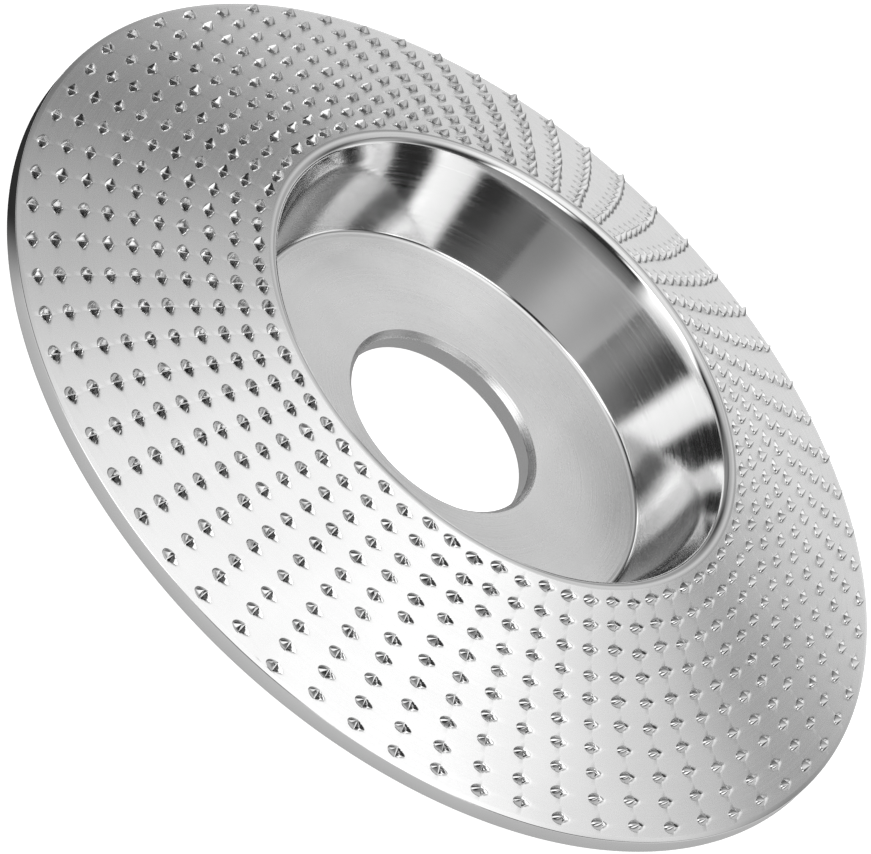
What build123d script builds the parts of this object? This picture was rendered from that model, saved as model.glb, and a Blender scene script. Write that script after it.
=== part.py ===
"""Woodcarving disc for an angle grinder.

A dished steel disc: a flat hub web with the arbor bore, a tapered cup wall that leaves room for the
clamping nut, a rounded mouth lip, and a conical carving plate that falls away to a plain rim. Rings of
rasp teeth stand on the plate, each like a thorn with a rounded back and a steep cutting face.

The frame's origin lies on the bore axis at the hub's back face, and +Z points to the toothed side.
Lengths are in millimetres and angles in degrees.
"""

import math
import os
import random

from build123d import *

# Driving dimensions of the dished body
DISC_RADIUS = 53.5
RIM_HEIGHT = 4.57  # top edge of the rim above the hub's back face
RIM_WIDTH = 0.5
RIM_EDGE_BREAK = 0.15
PLATE_THICKNESS = 1.7
CONE_SLOPE = 21.7  # fall of the carving plate from the mouth to the rim

BORE_RADIUS = 11.115  # 22.23 mm arbor bore
WEB_THICKNESS = 2.75
WEB_RADIUS = 23.8
BORE_FRONT_CHAMFER = 0.65
BORE_BACK_CHAMFER = 0.4

WALL_FOOT_RADIUS = 24.48  # where the line of the cup wall meets the web's front face
WALL_TAPER = 17.8  # lean of the cup wall away from the axis
FOOT_FILLET = 0.58
BACK_CORNER_FILLET = 1.5

MOUTH_FILLET = 1.0
BEND_FILLET = 0.5
LIP_REACH_WALL = 2.8  # the lip's length down the wall from the mouth's sharp corner
LIP_TOP_RADIUS = 29.3  # where the lip gives way to the plate on the toothed face
LIP_UNDER_RADIUS = 29.9  # and on the underside, outside the bend

# Driving dimensions of the teeth
RING_COUNT = 10
TEETH_PER_RING = 66
OUTER_RING_RADIUS = 52.0
INNER_RING_RADIUS = 30.4
COLUMN_START = 2.7  # angle of the first column of teeth at the outermost ring
COLUMN_TRAIL = 3.0  # the columns bow back by this times the way in, from 0 to 1,
COLUMN_LEAD = 4.1  # and forward by this times its square
COLUMN_SCATTER = 0.30  # slide of a whole column along the plate's slope
TOOTH_SCATTER = 0.15  # slide of a single tooth
SCATTER_SEED = 7

TOOTH_HEIGHT = 0.8
TOOTH_WIDTH = 1.3
TOOTH_TIP_WIDTH = 0.16
TOOTH_LENGTH = 1.1  # from the foot of the rounded back to the foot of the cutting face
TOOTH_RAKE = 0.1  # overhang of the tip past the foot of the cutting face
TOOTH_BACK_BULGE = 0.18
TOOTH_ROOT = 0.2  # depth of the untrimmed tooth below the plate's tangent plane

PARTS_FOLDER = "parts"


def direction(angle):
    """Unit vector in the section plane, at an angle up from the outward radius."""
    return Vector(math.cos(math.radians(angle)), math.sin(math.radians(angle)))


# The section's lines, as points (radius, height)
WALL_UP = direction(90 - WALL_TAPER)
WALL_OUTWARD = direction(-WALL_TAPER)
PLATE_OUT = direction(-CONE_SLOPE)
PLATE_DOWN = direction(-90 - CONE_SLOPE)

wall_foot = Vector(WALL_FOOT_RADIUS, WEB_THICKNESS)
rim_top = Vector(DISC_RADIUS, RIM_HEIGHT)


def crossing(start_a, along_a, start_b, along_b):
    """The point where two lines of the section cross."""
    between = start_b - start_a
    turn = along_a.X * along_b.Y - along_a.Y * along_b.X
    return start_a + along_a * ((between.X * along_b.Y - between.Y * along_b.X) / turn)


def plate_top(radius):
    """Point on the plate's toothed face."""
    return rim_top - PLATE_OUT * ((DISC_RADIUS - radius) / PLATE_OUT.X)


def plate_under(radius):
    """Point on the plate's underside."""
    start = rim_top + PLATE_DOWN * PLATE_THICKNESS
    return start - PLATE_OUT * ((start.X - radius) / PLATE_OUT.X)


mouth_corner = crossing(wall_foot, WALL_UP, rim_top, PLATE_OUT)
bend_corner = crossing(
    wall_foot + WALL_OUTWARD * PLATE_THICKNESS,
    WALL_UP,
    rim_top + PLATE_DOWN * PLATE_THICKNESS,
    PLATE_OUT,
)
back_corner = crossing(
    wall_foot + WALL_OUTWARD * PLATE_THICKNESS, WALL_UP, Vector(0, 0), direction(0)
)
lip_wall_end = mouth_corner - WALL_UP * LIP_REACH_WALL
lip_wall_end_outer = lip_wall_end + WALL_OUTWARD * PLATE_THICKNESS
lip_plate_end = plate_top(LIP_TOP_RADIUS)
lip_plate_end_under = plate_under(LIP_UNDER_RADIUS)
rim_inner_radius = DISC_RADIUS - RIM_WIDTH


def corner_at(sketch, point):
    """The sketch's vertex at a point of the section."""
    return sketch.vertices().sort_by_distance((point.X, point.Y, 0))[0]


# Hub web: the flat floor that the grinder's flanges clamp, with the arbor bore
with BuildPart() as hub_web:
    with BuildSketch(Plane.XY):
        Circle(WEB_RADIUS)
        Circle(BORE_RADIUS, mode=Mode.SUBTRACT)
    extrude(amount=WEB_THICKNESS)
    bore_edges = hub_web.edges().filter_by(GeomType.CIRCLE).sort_by(SortBy.RADIUS)[:2]
    chamfer(bore_edges.sort_by(Axis.Z)[-1], BORE_FRONT_CHAMFER)
    chamfer(bore_edges.sort_by(Axis.Z)[0], BORE_BACK_CHAMFER)
hub_web.part.label = "hub_web"

# Cup wall: from the web's edge, round the floor's fillet and up to the lip
with BuildPart() as cup_wall:
    with BuildSketch(Plane.XZ) as wall_section:
        with BuildLine():
            Polyline(
                (WEB_RADIUS, 0),
                (WEB_RADIUS, WEB_THICKNESS),
                wall_foot,
                lip_wall_end,
                lip_wall_end_outer,
                back_corner,
                close=True,
            )
        make_face()
        fillet(corner_at(wall_section, wall_foot), radius=FOOT_FILLET)
        fillet(corner_at(wall_section, back_corner), radius=BACK_CORNER_FILLET)
    revolve(axis=Axis.Z)
cup_wall.part.label = "cup_wall"

# Mouth lip: the smooth rounded bend between the cup wall and the carving plate
with BuildPart() as mouth_lip:
    with BuildSketch(Plane.XZ) as lip_section:
        with BuildLine():
            Polyline(
                lip_wall_end,
                mouth_corner,
                lip_plate_end,
                lip_plate_end_under,
                bend_corner,
                lip_wall_end_outer,
                close=True,
            )
        make_face()
        fillet(corner_at(lip_section, mouth_corner), radius=MOUTH_FILLET)
        fillet(corner_at(lip_section, bend_corner), radius=BEND_FILLET)
    revolve(axis=Axis.Z)
mouth_lip.part.label = "mouth_lip"

# Carving plate: the cone that carries the teeth
with BuildPart() as carving_plate:
    with BuildSketch(Plane.XZ):
        with BuildLine():
            Polyline(
                lip_plate_end,
                plate_top(rim_inner_radius),
                plate_under(rim_inner_radius),
                lip_plate_end_under,
                close=True,
            )
        make_face()
    revolve(axis=Axis.Z)
carving_plate.part.label = "carving_plate"

# Rim: the plain turned edge, with both corners broken
with BuildPart() as rim:
    with BuildSketch(Plane.XZ) as rim_section:
        with BuildLine():
            Polyline(
                plate_top(rim_inner_radius),
                plate_top(DISC_RADIUS),
                plate_under(DISC_RADIUS),
                plate_under(rim_inner_radius),
                close=True,
            )
        make_face()
        chamfer(rim_section.vertices().group_by(Axis.X)[-1], RIM_EDGE_BREAK)
    revolve(axis=Axis.Z)
rim.part.label = "rim"

# The whole toothed face as one cone, to which the feet of the teeth are trimmed
with BuildPart() as toothed_cone:
    with BuildSketch(Plane.XZ):
        with BuildLine():
            Polyline(
                (0, 0),
                (DISC_RADIUS, 0),
                rim_top,
                plate_top(mouth_corner.X),
                (0, mouth_corner.Y),
                close=True,
            )
        make_face()
    revolve(axis=Axis.Z)


def ring_radius(ring):
    """Radius at which a ring's teeth stand, counted from the rim."""
    return OUTER_RING_RADIUS - ring * (OUTER_RING_RADIUS - INNER_RING_RADIUS) / (RING_COUNT - 1)


def make_tooth(radius):
    """One tooth at angle 0, with its foot trimmed to the cone. Its cutting face looks along +Y."""
    foot = plate_top(radius)
    seat = Plane(
        origin=(foot.X, 0, foot.Y),
        x_dir=(0, 1, 0),
        z_dir=(-PLATE_DOWN.X, 0, -PLATE_DOWN.Y),
    )
    side_view = Plane(origin=seat.origin, x_dir=seat.x_dir, z_dir=-seat.y_dir)
    front_view = Plane(origin=seat.origin, x_dir=seat.y_dir, z_dir=seat.x_dir)
    with BuildPart() as tooth:
        with BuildSketch(side_view):
            with BuildLine():
                SagittaArc((-TOOTH_LENGTH, 0), (TOOTH_RAKE, TOOTH_HEIGHT), -TOOTH_BACK_BULGE)
                Polyline(
                    (TOOTH_RAKE, TOOTH_HEIGHT),
                    (0, 0),
                    (0, -TOOTH_ROOT),
                    (-TOOTH_LENGTH, -TOOTH_ROOT),
                    (-TOOTH_LENGTH, 0),
                )
            make_face()
        extrude(amount=TOOTH_WIDTH, both=True)
        with BuildSketch(front_view):
            with BuildLine():
                Polyline(
                    (-TOOTH_WIDTH / 2, -TOOTH_ROOT),
                    (TOOTH_WIDTH / 2, -TOOTH_ROOT),
                    (TOOTH_WIDTH / 2, 0),
                    (TOOTH_TIP_WIDTH / 2, TOOTH_HEIGHT),
                    (-TOOTH_TIP_WIDTH / 2, TOOTH_HEIGHT),
                    (-TOOTH_WIDTH / 2, 0),
                    close=True,
                )
            make_face()
        extrude(amount=TOOTH_LENGTH, both=True, mode=Mode.INTERSECT)
        add(toothed_cone.part, mode=Mode.SUBTRACT)
    return tooth.part


def slide_out(angle, slide):
    """Place that turns a tooth to its angle and slides it along the plate's slope."""
    along = PLATE_OUT * slide
    return Pos(0, 0, along.Y) * Rot(0, 0, angle) * Pos(along.X, 0, 0)


scatter = random.Random(SCATTER_SEED)
column_slides = [scatter.uniform(-COLUMN_SCATTER, COLUMN_SCATTER) for _ in range(TEETH_PER_RING)]
body_parts = [hub_web.part, cup_wall.part, mouth_lip.part, carving_plate.part, rim.part]
tooth_rings = []
for ring in range(RING_COUNT):
    way_in = ring / (RING_COUNT - 1)
    ring_start = COLUMN_START - COLUMN_TRAIL * way_in + COLUMN_LEAD * way_in**2
    tooth = make_tooth(ring_radius(ring))
    places = [
        slide_out(
            ring_start + column * 360 / TEETH_PER_RING,
            column_slides[column] + scatter.uniform(-TOOTH_SCATTER, TOOTH_SCATTER),
        )
        for column in range(TEETH_PER_RING)
    ]
    with BuildPart() as tooth_ring:
        with Locations(*places):
            add(tooth)
    tooth_ring.part.label = f"tooth_ring_{ring + 1:02d}"
    tooth_rings.append(tooth_ring.part)

os.makedirs(PARTS_FOLDER, exist_ok=True)
for piece in body_parts + tooth_rings:
    export_step(piece, f"{PARTS_FOLDER}/{piece.label}.step")
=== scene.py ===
"""The looks of the woodcarving disc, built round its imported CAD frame.

Outlines and meshes are worked out in millimetres and stored in metres. The disc's axis is Z.
"""

import math
import random

import bmesh
import bpy
import numpy as np
from mathutils import Matrix, Vector


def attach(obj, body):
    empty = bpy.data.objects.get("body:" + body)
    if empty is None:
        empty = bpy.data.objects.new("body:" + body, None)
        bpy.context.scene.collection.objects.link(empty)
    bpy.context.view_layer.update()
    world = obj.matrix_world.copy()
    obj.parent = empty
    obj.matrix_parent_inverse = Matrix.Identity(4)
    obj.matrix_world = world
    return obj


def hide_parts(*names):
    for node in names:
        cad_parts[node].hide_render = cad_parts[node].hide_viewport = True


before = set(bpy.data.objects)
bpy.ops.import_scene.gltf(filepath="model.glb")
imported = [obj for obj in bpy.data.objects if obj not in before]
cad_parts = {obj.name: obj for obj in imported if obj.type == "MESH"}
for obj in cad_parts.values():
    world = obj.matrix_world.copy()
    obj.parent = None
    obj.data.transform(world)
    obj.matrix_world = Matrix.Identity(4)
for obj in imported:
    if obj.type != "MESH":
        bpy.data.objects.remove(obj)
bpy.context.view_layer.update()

MM = 0.001

# Sizes that can't be read from the frame, as in the CAD source, in millimetres and degrees
WALL_TAPER = 17.8
FOOT_FILLET = 0.58
BACK_CORNER_FILLET = 1.5
MOUTH_FILLET = 1.0
BEND_FILLET = 0.5
RIM_EDGE_BREAK = 0.15
RING_COUNT = 10
TEETH_PER_RING = 66
OUTER_RING_RADIUS = 52.0
INNER_RING_RADIUS = 30.4
COLUMN_START = 2.7
COLUMN_TRAIL = 3.0
COLUMN_LEAD = 4.1
COLUMN_SCATTER = 0.30
TOOTH_SCATTER = 0.15
SCATTER_SEED = 7

# Mesh density and finish
ROUND_STEPS = TEETH_PER_RING * 8
ARC_STEPS = 8
EDGE_SOFTENING = 0.05  # radius of the web's chamfered corners
SHARP_ANGLE = 30.0  # edges that turn by more than this are shaded sharp
PLATE_SHARP_ANGLE = 25.0
TOOTH_SHARP_ANGLE = 40.0


# ---------------------------------------------------------------- the section, read from the frame


def section(node):
    """Radius and height of every vertex of a CAD node."""
    points = np.array([vertex.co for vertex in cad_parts[node].data.vertices]) / MM
    return np.column_stack([np.hypot(points[:, 0], points[:, 1]), points[:, 2]])


def furthest(points, outward, upward):
    """The point of a section that lies furthest in a direction."""
    return points[np.argmax(points @ np.array([outward, upward]))]


web_section = section("hub_web")
plate_section = section("carving_plate")
wall_section = section("cup_wall")
rim_section = section("rim")

web_radius = web_section[:, 0].max()
web_top = web_section[:, 1].max()
disc_radius = float(rim_section[:, 0].max())
plate_inner = furthest(plate_section, -0.3, 1)
plate_outer = furthest(plate_section, 1, 0.5)
plate_inner_under = furthest(plate_section, -1, -0.5)
plate_outer_under = furthest(plate_section, 1, -0.5)
wall_end = furthest(wall_section, -0.3, 1)
wall_end_outer = furthest(wall_section, 1, 0)

plate_out = (plate_outer - plate_inner) / np.linalg.norm(plate_outer - plate_inner)
plate_normal = np.array([-plate_out[1], plate_out[0]])
wall_up = np.array([math.sin(math.radians(WALL_TAPER)), math.cos(math.radians(WALL_TAPER))])


def on_line(start, along, radius):
    """The point of a line of the section at a radius."""
    return start + along * ((radius - start[0]) / along[0])


def at_height(start, along, height):
    """The point of a line of the section at a height."""
    return start + along * ((height - start[1]) / along[1])


def crossing(start_a, along_a, start_b, along_b):
    """The point where two lines of the section cross."""
    between = start_b - start_a
    turn = along_a[0] * along_b[1] - along_a[1] * along_b[0]
    return start_a + along_a * ((between[0] * along_b[1] - between[1] * along_b[0]) / turn)


mouth_corner = crossing(wall_end, wall_up, plate_inner, plate_out)
bend_corner = crossing(wall_end_outer, wall_up, plate_inner_under, plate_out)
wall_foot = at_height(wall_end, wall_up, web_top)
back_corner = at_height(wall_end_outer, wall_up, 0.0)


# ---------------------------------------------------------------- mesh helpers


def make_mesh(name, vertices, faces, sharp_angle):
    """A smooth-shaded mesh object from vertices in millimetres, sharp where faces turn steeply."""
    mesh = bpy.data.meshes.new(name)
    mesh.from_pydata((np.asarray(vertices) * MM).tolist(), [], faces)
    shell = bmesh.new()
    shell.from_mesh(mesh)
    bmesh.ops.recalc_face_normals(shell, faces=shell.faces)
    shell.to_mesh(mesh)
    shell.free()
    mesh.shade_smooth()
    mesh.set_sharp_from_angle(angle=math.radians(sharp_angle))
    piece = bpy.data.objects.new(name, mesh)
    bpy.context.scene.collection.objects.link(piece)
    return piece


def rounded(corners):
    """An outline from (point, radius) corners, each rounded by an arc of its radius."""
    outline = []
    count = len(corners)
    for index, (point, radius) in enumerate(corners):
        point = np.asarray(point, float)
        if radius <= 0:
            outline.append(point)
            continue
        before = np.asarray(corners[index - 1][0], float) - point
        after = np.asarray(corners[(index + 1) % count][0], float) - point
        before /= np.linalg.norm(before)
        after /= np.linalg.norm(after)
        half = math.acos(np.clip(before @ after, -1, 1)) / 2
        bisector = (before + after) / np.linalg.norm(before + after)
        centre = point + bisector * radius / math.sin(half)
        start = point + before * radius / math.tan(half) - centre
        end = point + after * radius / math.tan(half) - centre
        sweep = math.atan2(start[0] * end[1] - start[1] * end[0], start @ end)
        for step in range(ARC_STEPS + 1):
            turn = sweep * step / ARC_STEPS
            spin = np.array(
                [[math.cos(turn), -math.sin(turn)], [math.sin(turn), math.cos(turn)]]
            )
            outline.append(centre + spin @ start)
    return np.array(outline)


def ring_faces(rows, steps):
    """Four-sided faces between rows of vertices that close on themselves both ways."""
    faces = []
    for row in range(rows):
        this_row = row * steps
        next_row = (row + 1) % rows * steps
        for step in range(steps):
            after = (step + 1) % steps
            faces.append((this_row + step, next_row + step, next_row + after, this_row + after))
    return faces


def spun(name, outline):
    """A closed outline of (radius, height) points turned round the axis."""
    turns = np.arange(ROUND_STEPS) * 2 * math.pi / ROUND_STEPS
    rings = [
        np.column_stack([radius * np.cos(turns), radius * np.sin(turns), np.full(ROUND_STEPS, z)])
        for radius, z in outline
    ]
    faces = ring_faces(len(outline), ROUND_STEPS)
    return make_mesh(name, np.concatenate(rings), faces, SHARP_ANGLE)


def turned_to(angle, radius, z):
    """The point at a radius and a height, turned by an angle round the axis."""
    return (radius * math.cos(angle), radius * math.sin(angle), z)


# ---------------------------------------------------------------- where the teeth stand

scatter = random.Random(SCATTER_SEED)
column_slides = [scatter.uniform(-COLUMN_SCATTER, COLUMN_SCATTER) for _ in range(TEETH_PER_RING)]
tooth_angles = np.zeros((RING_COUNT, TEETH_PER_RING))
tooth_slides = np.zeros((RING_COUNT, TEETH_PER_RING))
ring_radii = np.linspace(OUTER_RING_RADIUS, INNER_RING_RADIUS, RING_COUNT)
for ring in range(RING_COUNT):
    way_in = ring / (RING_COUNT - 1)
    ring_start = COLUMN_START - COLUMN_TRAIL * way_in + COLUMN_LEAD * way_in**2
    for column in range(TEETH_PER_RING):
        tooth_angles[ring, column] = math.radians(ring_start + column * 360 / TEETH_PER_RING)
        slide = column_slides[column] + scatter.uniform(-TOOTH_SCATTER, TOOTH_SCATTER)
        tooth_slides[ring, column] = slide


# ---------------------------------------------------------------- carving plate

# A pit starts at the foot of its tooth's cutting face and runs out to a point ahead of it.
PIT_DEPTH = 0.9
PIT_LENGTH = 1.3
PIT_HALF_WIDTH = 0.68
PIT_TIP = 0.06  # share of the pit's length that stays level at its point
PIT_HOLLOW = 1.6  # above 1, the pit's sides are hollow
PIT_START = 0.03  # the steep end wall drops between this line and the one before it
PIT_SLOPE = 8.0  # a pit's faces are tilted from the plate by more than this
END_WALL_SLOPE = 70.0  # and those of its end wall by more than this

# The plate's mesh lines, from the foot of a tooth's cutting face: round the axis, and outwards
LINES_AHEAD = (-1.3, -0.6, -0.02, PIT_START, 0.2, 0.42, 0.65, 0.88, 1.1, PIT_LENGTH)
LINES_ACROSS = (-PIT_HALF_WIDTH, -0.54, -0.38, -0.19, 0.0, 0.19, 0.38, 0.54, PIT_HALF_WIDTH)


def pit_depth(ahead, across):
    """Depth below the plate of the three-sided pit that the punch leaves ahead of a tooth."""
    if ahead < PIT_START:
        return 0.0
    rest = max(0.0, 1 - ahead / PIT_LENGTH - abs(across) / PIT_HALF_WIDTH)
    return PIT_DEPTH * (max(0.0, rest - PIT_TIP) / (1 - PIT_TIP)) ** PIT_HOLLOW


def plate_row(centre_radius, angles, slides, across=None):
    """One row of the plate's top, as (angle, radius, depth): each tooth's lines and one between.

    A row with an across value runs through the pits, that far outwards from their middle.
    """
    outwards = across or 0.0
    row = []
    for column in range(TEETH_PER_RING):
        following = (column + 1) % TEETH_PER_RING
        next_angle = angles[following] + (2 * math.pi if following == 0 else 0)
        radius = centre_radius + (slides[column] + outwards) * plate_out[0]
        for ahead in LINES_AHEAD:
            depth = 0.0 if across is None else pit_depth(ahead, across)
            row.append((angles[column] + ahead / centre_radius, radius, depth))
        start_gap = angles[column] + LINES_AHEAD[-1] / centre_radius
        end_gap = next_angle + LINES_AHEAD[0] / centre_radius
        slide = (slides[column] + slides[following]) / 2
        radius = centre_radius + (slide + outwards) * plate_out[0]
        row.append(((start_gap + end_gap) / 2, radius, 0.0))
    return row


def carving_plate():
    """The conical plate, with a pit ahead of each tooth."""
    no_slides = np.zeros(TEETH_PER_RING)
    rows = [plate_row(plate_outer[0], tooth_angles[0], no_slides)]
    for ring, radius in enumerate(ring_radii):
        for across in reversed(LINES_ACROSS):
            rows.append(plate_row(radius, tooth_angles[ring], tooth_slides[ring], across))
        if ring + 1 < RING_COUNT:
            between = (tooth_angles[ring] + tooth_angles[ring + 1]) / 2
            middle = (radius + ring_radii[ring + 1]) / 2
            slides = (tooth_slides[ring] + tooth_slides[ring + 1]) / 2
            rows.append(plate_row(middle, between, slides))
    rows.append(plate_row(plate_inner[0], tooth_angles[-1], no_slides))
    vertices = []
    for row in rows:
        for angle, radius, depth in row:
            radius = min(max(radius, plate_inner[0]), plate_outer[0])
            r, z = on_line(plate_outer, plate_out, radius) - plate_normal * depth
            vertices.append(turned_to(angle, r, z))
    for corner, row in ((plate_inner_under, rows[-1]), (plate_outer_under, rows[0])):
        vertices.extend(turned_to(angle, *corner) for angle, _, _ in row)
    lines = len(rows[0])
    faces = ring_faces(len(vertices) // lines, lines)
    return make_mesh("carving_plate_punched", vertices, faces, PLATE_SHARP_ANGLE)


# ---------------------------------------------------------------- teeth

TOOTH_HEIGHT = 0.7  # a little lower than the CAD's, as the photograph's light suggests
TOOTH_WIDTH = 1.3
TOOTH_BACK_LENGTH = 1.1
TOOTH_ROOT = 0.3
TOOTH_LEAN = -0.35  # the tip's place ahead of the cutting face's foot: below 0, it leans back
TOOTH_SCOOP = 0.10
BACK_STEPS = 14
FACE_STEPS = 6
SHRINKS = (1.0, 0.92, 0.82, 0.7, 0.57, 0.44, 0.31, 0.2, 0.1, 0.03)  # outlines up to the tip
FLARE = 0.85  # below 1, the sides bulge between the foot and the tip
SIZE_SPREAD = 0.08
YAW_SPREAD = 5.0
LEAN_SPREAD = 0.5


def tooth_shell(height, width, length, lean):
    """Vertices (ahead, across, up) and faces of one tooth, with its cutting face at ahead 0."""
    levels = [(1.0, 0.0, -TOOTH_ROOT)]
    for size in SHRINKS:
        up = height * (1 - size) ** FLARE
        levels.append((size, lean * up / height, up))
    vertices = []
    loops = []
    for size, shift, up in levels:
        loop = []
        for step in range(BACK_STEPS + 1):
            turn = math.pi * step / BACK_STEPS
            ahead = shift - length * size * math.sin(turn)
            loop.append((ahead, -width / 2 * size * math.cos(turn), up))
        for step in range(1, FACE_STEPS):
            across = 1 - 2 * step / FACE_STEPS
            scoop = TOOTH_SCOOP * (1 - across**2) * min(1.0, 2 * size)
            loop.append((shift - scoop * size, width / 2 * size * across, up))
        loops.append(list(range(len(vertices), len(vertices) + len(loop))))
        vertices.extend(loop)
    faces = [tuple(reversed(loops[0]))]
    for lower, upper in zip(loops, loops[1:]):
        for index in range(len(lower)):
            after = (index + 1) % len(lower)
            faces.append((lower[index], lower[after], upper[after], upper[index]))
    faces.append(tuple(loops[-1]))
    return np.array(vertices), faces


def tooth_ring(ring, variation):
    """All the teeth of one ring as one piece."""
    vertices = []
    faces = []
    for column in range(TEETH_PER_RING):
        grow = 1 + variation.uniform(-SIZE_SPREAD, SIZE_SPREAD)
        broaden = 1 + variation.uniform(-SIZE_SPREAD, SIZE_SPREAD)
        yaw = math.radians(variation.uniform(-YAW_SPREAD, YAW_SPREAD))
        lean = TOOTH_LEAN * variation.uniform(1 - LEAN_SPREAD, 1 + LEAN_SPREAD)
        shell, shell_faces = tooth_shell(
            TOOTH_HEIGHT * grow, TOOTH_WIDTH * broaden, TOOTH_BACK_LENGTH * broaden, lean
        )
        angle = tooth_angles[ring, column]
        foot_radius = ring_radii[ring] + tooth_slides[ring, column] * plate_out[0]
        foot = np.array(turned_to(angle, *on_line(plate_outer, plate_out, foot_radius)))
        ahead = np.array([-math.sin(angle), math.cos(angle), 0])
        out = np.array(turned_to(angle, *plate_out))
        up = np.array(turned_to(angle, *plate_normal))
        u = shell[:, 0] * math.cos(yaw) - shell[:, 1] * math.sin(yaw)
        w = shell[:, 0] * math.sin(yaw) + shell[:, 1] * math.cos(yaw)
        base = len(vertices)
        vertices.extend(foot + np.outer(u, ahead) + np.outer(w, out) + np.outer(shell[:, 2], up))
        faces.extend(tuple(base + index for index in face) for face in shell_faces)
    return make_mesh(f"teeth_raised_{ring + 1:02d}", vertices, faces, TOOTH_SHARP_ANGLE)


# ---------------------------------------------------------------- node helpers

NUMBER_RESULTS = ("LENGTH", "DISTANCE", "DOT_PRODUCT")


class Shading:
    """Short calls for the nodes of a material or a world."""

    def __init__(self, owner):
        owner.use_nodes = True
        self.nodes = owner.node_tree.nodes
        self.links = owner.node_tree.links

    def feed(self, socket, value):
        """Links a socket to another node's result, or sets it to a plain value."""
        if isinstance(value, bpy.types.NodeSocket):
            self.links.new(value, socket)
        else:
            socket.default_value = value

    def node(self, kind, *values, **settings):
        """A new node with its settings, and values for its first sockets."""
        made = self.nodes.new(kind)
        for name, setting in settings.items():
            setattr(made, name, setting)
        for socket, value in zip(made.inputs, values):
            self.feed(socket, value)
        return made

    def math(self, operation, *values):
        """The result of a maths node."""
        return self.node("ShaderNodeMath", *values, operation=operation).outputs[0]

    def vector(self, operation, *values):
        """The result of a vector maths node, which is a number for some operations."""
        made = self.node("ShaderNodeVectorMath", *values, operation=operation)
        return made.outputs["Value" if operation in NUMBER_RESULTS else "Vector"]

    def noise(self, coordinates, scale, detail):
        """A noise texture's value."""
        made = self.node("ShaderNodeTexNoise")
        self.feed(made.inputs["Vector"], coordinates)
        made.inputs["Scale"].default_value = scale
        made.inputs["Detail"].default_value = detail
        return made.outputs["Fac"]

    def stretched(self, value, source, target=(0.0, 1.0), interpolation="LINEAR"):
        """A value stretched from a source range to a target range, and kept inside it."""
        made = self.node(
            "ShaderNodeMapRange", value, *source, *target, interpolation_type=interpolation
        )
        return made.outputs["Result"]

    def eased(self, value, source, target=(0.0, 1.0)):
        """A value stretched to a target range, with soft ends."""
        return self.stretched(value, source, target, "SMOOTHSTEP")

    def mixed(self, factor, first, second):
        """Two colours mixed. The node has sockets for other types before the colours' own."""
        made = self.node("ShaderNodeMix", factor, data_type="RGBA")
        self.feed(made.inputs[6], first)
        self.feed(made.inputs[7], second)
        return made.outputs[2]


def grey(tone):
    """An opaque grey."""
    return (tone, tone, tone, 1)


# ---------------------------------------------------------------- steel

# Texture frequencies per metre. The turning marks are fine along the section and long round the
# axis, where the frequency is per radian.
MARKS_ALONG_RADIUS = 9000.0
MARKS_ALONG_HEIGHT = 2600.0
MARKS_AROUND = 0.6
MARKS_DETAIL = 3.0
BLOTCH_SCALE = 140.0
BLOTCH_DETAIL = 4.0
GRAIN_SCALE = 2600.0
GRAIN_DETAIL = 3.0
NOISE_RANGE = (0.3, 0.7)  # where most of a noise texture's values lie

EDGE_WEAR_RADIUS = 0.12
EDGE_WEAR = 0.5
WORN_TONE = 0.92
BEVEL_SAMPLES = 4
EDGE_AGREEMENT = (0.8, 0.98)  # cosines between the softened and the true normal: an edge, no edge
WEAR_GRAIN_RANGE = (0.4, 0.6)
WEAR_BREAKUP = (0.3, 1.0)


def turned_coordinates(shading, place):
    """Coordinates that run with the radius, the height and the way round, for turning marks."""
    flat = shading.vector("MULTIPLY", place, (1, 1, 0))
    around = shading.vector("MULTIPLY", shading.vector("NORMALIZE", flat), (MARKS_AROUND,) * 3)
    height = shading.node("ShaderNodeSeparateXYZ", place).outputs["Z"]
    along = shading.math(
        "ADD",
        shading.math("MULTIPLY", shading.vector("LENGTH", flat), MARKS_ALONG_RADIUS),
        shading.math("MULTIPLY", height, MARKS_ALONG_HEIGHT),
    )
    rise = shading.node("ShaderNodeCombineXYZ", 0.0, 0.0, along).outputs[0]
    return shading.vector("ADD", around, rise)


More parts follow.
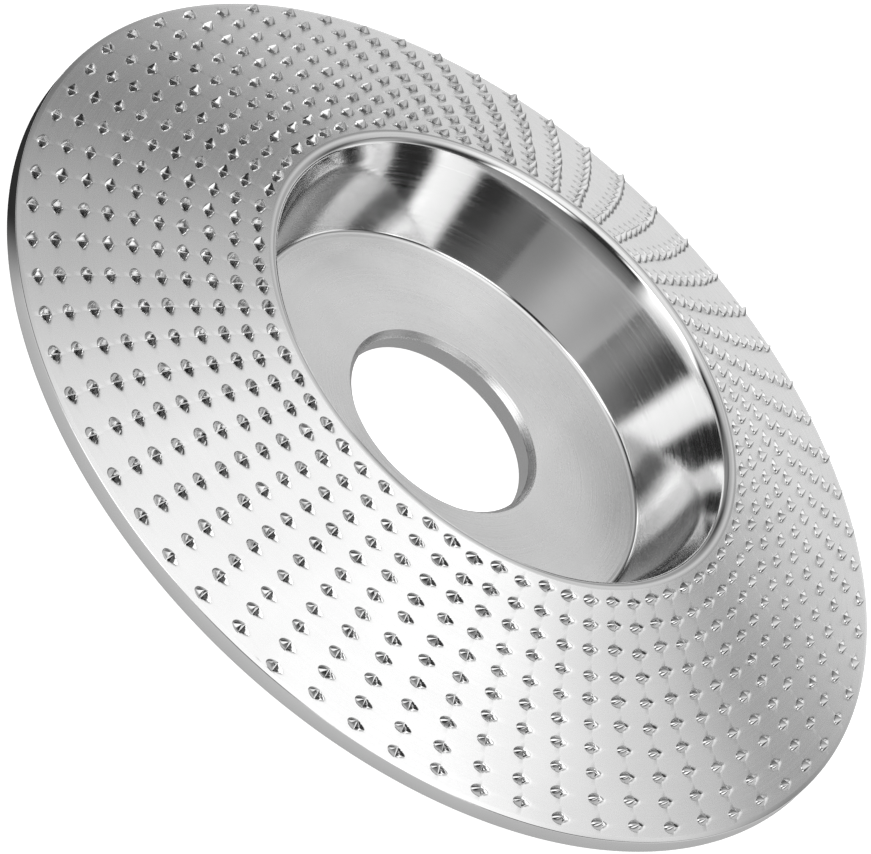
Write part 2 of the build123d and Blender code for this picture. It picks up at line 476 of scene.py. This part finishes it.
def steel(name, tone, roughness, mark_depth, anisotropy=0.0):
    """Bare steel with turning marks round the axis, blotches, grain and worn edges.

    Tone and roughness are each a middle value and how far it varies to either side.
    """
    material = bpy.data.materials.new(name)
    shading = Shading(material)
    shader = shading.nodes["Principled BSDF"]
    shader.inputs["Metallic"].default_value = 1.0
    shader.inputs["Anisotropic"].default_value = anisotropy
    place = shading.node("ShaderNodeTexCoord").outputs["Object"]
    marks = shading.noise(turned_coordinates(shading, place), 1.0, MARKS_DETAIL)
    blotches = shading.noise(place, BLOTCH_SCALE, BLOTCH_DETAIL)
    grain = shading.noise(place, GRAIN_SCALE, GRAIN_DETAIL)

    middle, spread = tone
    blotch = shading.stretched(blotches, NOISE_RANGE)
    colour = shading.mixed(blotch, grey(middle - spread), grey(middle + spread))

    # Worn edges: where a rounded-off normal turns away from the true one, broken up by the grain
    softened = shading.node("ShaderNodeBevel", EDGE_WEAR_RADIUS * MM, samples=BEVEL_SAMPLES)
    true_normal = shading.node("ShaderNodeNewGeometry").outputs["True Normal"]
    agreement = shading.vector("DOT_PRODUCT", softened.outputs[0], true_normal)
    edge = shading.stretched(agreement, EDGE_AGREEMENT, (EDGE_WEAR, 0.0))
    breakup = shading.stretched(grain, WEAR_GRAIN_RANGE, WEAR_BREAKUP)
    worn = shading.math("MULTIPLY", edge, breakup)
    shading.feed(shader.inputs["Base Color"], shading.mixed(worn, colour, grey(WORN_TONE)))

    # The marks change the roughness by its whole spread, and the grain by half of it
    middle, spread = roughness
    from_marks = shading.stretched(marks, NOISE_RANGE, (-spread, spread))
    from_grain = shading.stretched(grain, NOISE_RANGE, (middle - spread / 2, middle + spread / 2))
    shading.feed(shader.inputs["Roughness"], shading.math("ADD", from_marks, from_grain))

    bump = shading.node("ShaderNodeBump")
    bump.inputs["Strength"].default_value = 1.0
    bump.inputs["Distance"].default_value = mark_depth * MM
    shading.feed(bump.inputs["Height"], marks)
    shading.feed(shader.inputs["Normal"], bump.outputs["Normal"])
    if anisotropy:
        tangent = shading.node("ShaderNodeTangent", direction_type="RADIAL", axis="Z")
        shading.feed(shader.inputs["Tangent"], tangent.outputs[0])
    return material


# ---------------------------------------------------------------- the pieces

satin = steel("satin_steel", tone=(0.80, 0.02), roughness=(0.26, 0.03), mark_depth=0.003)
pitted = steel("satin_steel_pits", tone=(0.78, 0.03), roughness=(0.1, 0.02), mark_depth=0.0005)
edged = steel("satin_steel_rim", tone=(0.8, 0.02), roughness=(0.14, 0.04), mark_depth=0.003)
# A near-black steel for the pits' steep end walls: painted shade in the pits
painted_shade = steel("painted_shade_steel", tone=(0.16, 0.06), roughness=(0.4, 0.08), mark_depth=0.004)
polished = steel("polished_steel", tone=(0.68, 0.015), roughness=(0.09, 0.03), mark_depth=0.001)
turned = steel(
    "turned_steel", tone=(0.75, 0.03), roughness=(0.24, 0.04), mark_depth=0.012, anisotropy=0.85
)
raised = steel("tooth_steel", tone=(0.58, 0.06), roughness=(0.13, 0.03), mark_depth=0.0008)


def fitted(piece, material, slot, *nodes):
    """Gives a piece its material and its place in the frame."""
    piece.data.materials.append(material)
    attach(piece, "root")
    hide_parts(*nodes)
    return piece


chamfer_front_top = furthest(web_section, -1, 2)
chamfer_front_low = furthest(web_section, -2, 1)
chamfer_back_low = furthest(web_section, -1, -2)
chamfer_back_top = furthest(web_section, -2, -1)
web_outline = rounded(
    [
        ((web_radius, 0), 0),
        (chamfer_back_low, EDGE_SOFTENING),
        (chamfer_back_top, EDGE_SOFTENING),
        (chamfer_front_low, EDGE_SOFTENING),
        (chamfer_front_top, EDGE_SOFTENING),
        ((web_radius, web_top), 0),
    ]
)
fitted(spun("hub_web_turned", web_outline), turned, "turned_steel", "hub_web")

wall_outline = rounded(
    [
        ((web_radius, 0), 0),
        ((web_radius, web_top), 0),
        (wall_foot, FOOT_FILLET),
        (wall_end, 0),
        (wall_end_outer, 0),
        (back_corner, BACK_CORNER_FILLET),
    ]
)
fitted(spun("cup_wall_polished", wall_outline), polished, "polished_steel", "cup_wall")

lip_outline = rounded(
    [
        (wall_end, 0),
        (mouth_corner, MOUTH_FILLET),
        (plate_inner, 0),
        (plate_inner_under, 0),
        (bend_corner, BEND_FILLET),
        (wall_end_outer, 0),
    ]
)
fitted(spun("mouth_lip_rounded", lip_outline), polished, "polished_steel", "mouth_lip")

# The plate's later materials go on the faces of the pits, picked by their tilt from the plate. The
# steep end walls get a near-black steel, which is painted shade in the pits.
plate = fitted(carving_plate(), satin, "satin_steel", "carving_plate")
plate.data.materials.append(pitted)
plate.data.materials.append(painted_shade)
PITTED_INDEX, PAINTED_SHADE_INDEX = 1, 2
for face in plate.data.polygons:
    outward = Vector((face.center.x, face.center.y, 0)).normalized()
    level = outward * float(plate_normal[0]) + Vector((0, 0, float(plate_normal[1])))
    tilt_cosine = face.normal @ level
    if 0 < tilt_cosine < math.cos(math.radians(PIT_SLOPE)):
        steep = tilt_cosine < math.cos(math.radians(END_WALL_SLOPE))
        face.material_index = PAINTED_SHADE_INDEX if steep else PITTED_INDEX

rim_top_corner = on_line(plate_outer, plate_out, disc_radius)
rim_low_corner = on_line(plate_outer_under, plate_out, disc_radius)
rim_outline = rounded(
    [
        (plate_outer, 0),
        (rim_top_corner, RIM_EDGE_BREAK),
        (rim_low_corner, RIM_EDGE_BREAK),
        (plate_outer_under, 0),
    ]
)
fitted(spun("rim_turned", rim_outline), edged, "satin_steel", "rim")

variation = random.Random(SCATTER_SEED + 1)
for ring in range(RING_COUNT):
    fitted(tooth_ring(ring, variation), raised, "tooth_steel", f"tooth_ring_{ring + 1:02d}")


# ---------------------------------------------------------------- camera

CAMERA_ELEVATION = 36.119
CAMERA_ROLL = 44.1445
CAMERA_DISTANCE = 13.9846  # in disc radii, as are the offsets
CAMERA_OFFSET_RIGHT = 0.03525
CAMERA_OFFSET_UP = 0.03213
CAMERA_LENS = 297.59
CAMERA_SENSOR = 36
CAMERA_CLIP_START = 0.01

lift, roll = math.radians(CAMERA_ELEVATION), math.radians(CAMERA_ROLL)
back = Vector((0, -math.cos(lift), math.sin(lift)))
level_up = Vector((0, math.sin(lift), math.cos(lift)))
level_right = Vector((1, 0, 0))
right = level_right * math.cos(roll) + level_up * math.sin(roll)
up = level_up * math.cos(roll) - level_right * math.sin(roll)
rim_centre = Vector((0, 0, float(rim_top_corner[1]) * MM))
eye = rim_centre + disc_radius * MM * (
    back * CAMERA_DISTANCE - right * CAMERA_OFFSET_RIGHT - up * CAMERA_OFFSET_UP
)
camera = bpy.data.objects.new("camera", bpy.data.cameras.new("camera"))
camera.data.lens = CAMERA_LENS
camera.data.sensor_width = CAMERA_SENSOR
camera.data.clip_start = CAMERA_CLIP_START
turn = Matrix((right, up, back)).transposed().to_4x4()
camera.matrix_world = Matrix.Translation(eye) @ turn
bpy.context.scene.collection.objects.link(camera)
bpy.context.scene.camera = camera
bpy.context.scene.view_settings.view_transform = "Standard"


# ---------------------------------------------------------------- studio

# Soft boxes on the studio's dome: azimuth and half width, elevation and half height, the half
# widths of the soft edges across and up, and brightness. Azimuth is counted from the side the
# camera stands on, towards +X.
OVERHEAD = (180, 180, 90, 41, 1, 22, 1.18)
SOFTBOXES = (
    OVERHEAD,
    (180, 51, 38, 9, 1.5, 7, 0.36),  # grey wall behind
    (180, 34, 16, 12, 14, 8, 0.46),  # its lower part
    (180, 18, 36, 7, 16, 9, 0.3),  # its lighter middle
    (180, 100, -10, 17, 12, 9, 0.68),  # pale horizon behind and at the sides
    (41, 20, 28, 16, 6, 6, 1.5),  # front strip on the right
    (-41, 20, 29, 25, 6, 6, 2.4),  # front strip on the left
    (-72, 15, 6, 9, 9, 8, 1.2),  # low strip on the left
    (0, 62, -4, 10, 8, 4, 0.28),  # dim horizon in front
    (-19, 10, 41, 11, 7, 6, 2.0),  # box above the camera, to its left
    (113, 14, 20, 14, 14, 14, 0.4),  # side strip on the right
    (-113, 14, 20, 14, 14, 14, 0.5),  # side strip on the left
)
SURROUND = 0.035  # brightness of the dome between the boxes
TOWARDS_RIGHT = 0.4  # how much everything brightens towards +X, and dims away from it
OVERHEAD_END = (-0.65, -0.35)  # the Y of a direction, over which the overhead box fades in


def studio_world():
    """A dark surround with large soft boxes in it, which the camera itself sees as white."""
    world = bpy.data.worlds.new("studio")
    bpy.context.scene.world = world
    sky = Shading(world)
    direction = sky.node("ShaderNodeTexCoord").outputs["Generated"]
    x, y, z = sky.node("ShaderNodeSeparateXYZ", direction).outputs
    azimuth = sky.math("ARCTAN2", x, sky.math("MULTIPLY", y, -1.0))
    elevation = sky.math("ARCSINE", z)

    def brighter_right(brightness):
        return sky.math("ADD", sky.math("MULTIPLY", x, TOWARDS_RIGHT * brightness), brightness)

    def within(distance, half_width, softness):
        ends = (math.radians(half_width + softness), math.radians(half_width - softness))
        return sky.eased(distance, ends)

    total = brighter_right(SURROUND)
    overhead_fade = sky.eased(y, OVERHEAD_END)
    for box in SOFTBOXES:
        turn, half_width, rise, half_height, turn_soft, rise_soft, brightness = box
        aside = sky.math("SUBTRACT", azimuth, math.radians(turn))
        aside = sky.math("ABSOLUTE", sky.math("WRAP", aside, math.pi, -math.pi))
        above = sky.math("ABSOLUTE", sky.math("SUBTRACT", elevation, math.radians(rise)))
        sideways = within(aside, half_width, turn_soft)
        upright = within(above, half_height, rise_soft)
        inside = sky.math("MULTIPLY", sideways, upright)
        if box == OVERHEAD:
            inside = sky.math("MULTIPLY", inside, overhead_fade)
        total = sky.math("ADD", total, sky.math("MULTIPLY", inside, brighter_right(brightness)))
    background = sky.nodes["Background"]
    background.inputs["Color"].default_value = grey(1)
    seen = sky.node("ShaderNodeLightPath").outputs["Is Camera Ray"]
    sky.feed(background.inputs["Strength"], sky.math("MAXIMUM", total, seen))


FLOOR_HALF = 2.0
FLOOR_DROP = 0.0001  # just below the disc's back face
FLOOR_TONE = 0.9
FLOOR_GLOW = 0.85

# What the steel mirrors of the floor: painted shade, a painted dark patch and a painted shadow,
# which the camera itself doesn't see. Each fade runs from a lower glow at its first end to the
# full one at its second, in metres: from the dark patch's centre, from the disc's axis, or along
# Y.
PAINTED_DARK_PATCH_CENTRE = (-0.06, -0.012, 0)
PAINTED_DARK_PATCH_RADII = (0.016, 0.03)
PAINTED_DARK_PATCH_GLOW = 0.05
SHADOW_RADII = (0.045, 0.075)
SHADOW_SHARE = 0.45
FRONT_FADE = (-0.2, -0.08)  # on the camera's side of the disc
FRONT_SHARE = 0.35


def floor():
    """A pale floor, nearly white to the camera, with painted shade in what the steel mirrors of
    it.
    """
    sides = ((-1, -1), (1, -1), (1, 1), (-1, 1))
    corners = [(FLOOR_HALF * x, FLOOR_HALF * y, 0) for x, y in sides]
    mesh = bpy.data.meshes.new("floor")
    mesh.from_pydata(corners, [], [(0, 1, 2, 3)])
    plane = bpy.data.objects.new("floor", mesh)
    plane.location.z = -FLOOR_DROP
    bpy.context.scene.collection.objects.link(plane)

    material = bpy.data.materials.new("floor")
    shading = Shading(material)
    matt = shading.node("ShaderNodeBsdfDiffuse", grey(FLOOR_TONE)).outputs[0]
    glow = shading.node("ShaderNodeEmission", grey(1), FLOOR_GLOW).outputs[0]
    lit = shading.node("ShaderNodeAddShader", matt, glow).outputs[0]

    # Painted shade on the floor for all but camera rays: a dark patch, a shadow round the axis and
    # a dimmer front
    place = shading.node("ShaderNodeTexCoord").outputs["Object"]
    along_y = shading.node("ShaderNodeSeparateXYZ", place).outputs["Y"]
    from_card = shading.vector("DISTANCE", place, PAINTED_DARK_PATCH_CENTRE)
    card = shading.eased(from_card, PAINTED_DARK_PATCH_RADII, (PAINTED_DARK_PATCH_GLOW, FLOOR_GLOW))
    front = shading.eased(along_y, FRONT_FADE, (FRONT_SHARE, 1.0))
    shadow = shading.eased(shading.vector("LENGTH", place), SHADOW_RADII, (SHADOW_SHARE, 1.0))
    strength = shading.math("MULTIPLY", shading.math("MULTIPLY", card, front), shadow)
    mirrored = shading.node("ShaderNodeEmission", grey(1), strength).outputs[0]

    seen = shading.node("ShaderNodeLightPath").outputs["Is Camera Ray"]
    either = shading.node("ShaderNodeMixShader", seen, mirrored, lit).outputs[0]
    shading.feed(shading.nodes["Material Output"].inputs["Surface"], either)
    plane.data.materials.append(material)


studio_world()
floor()
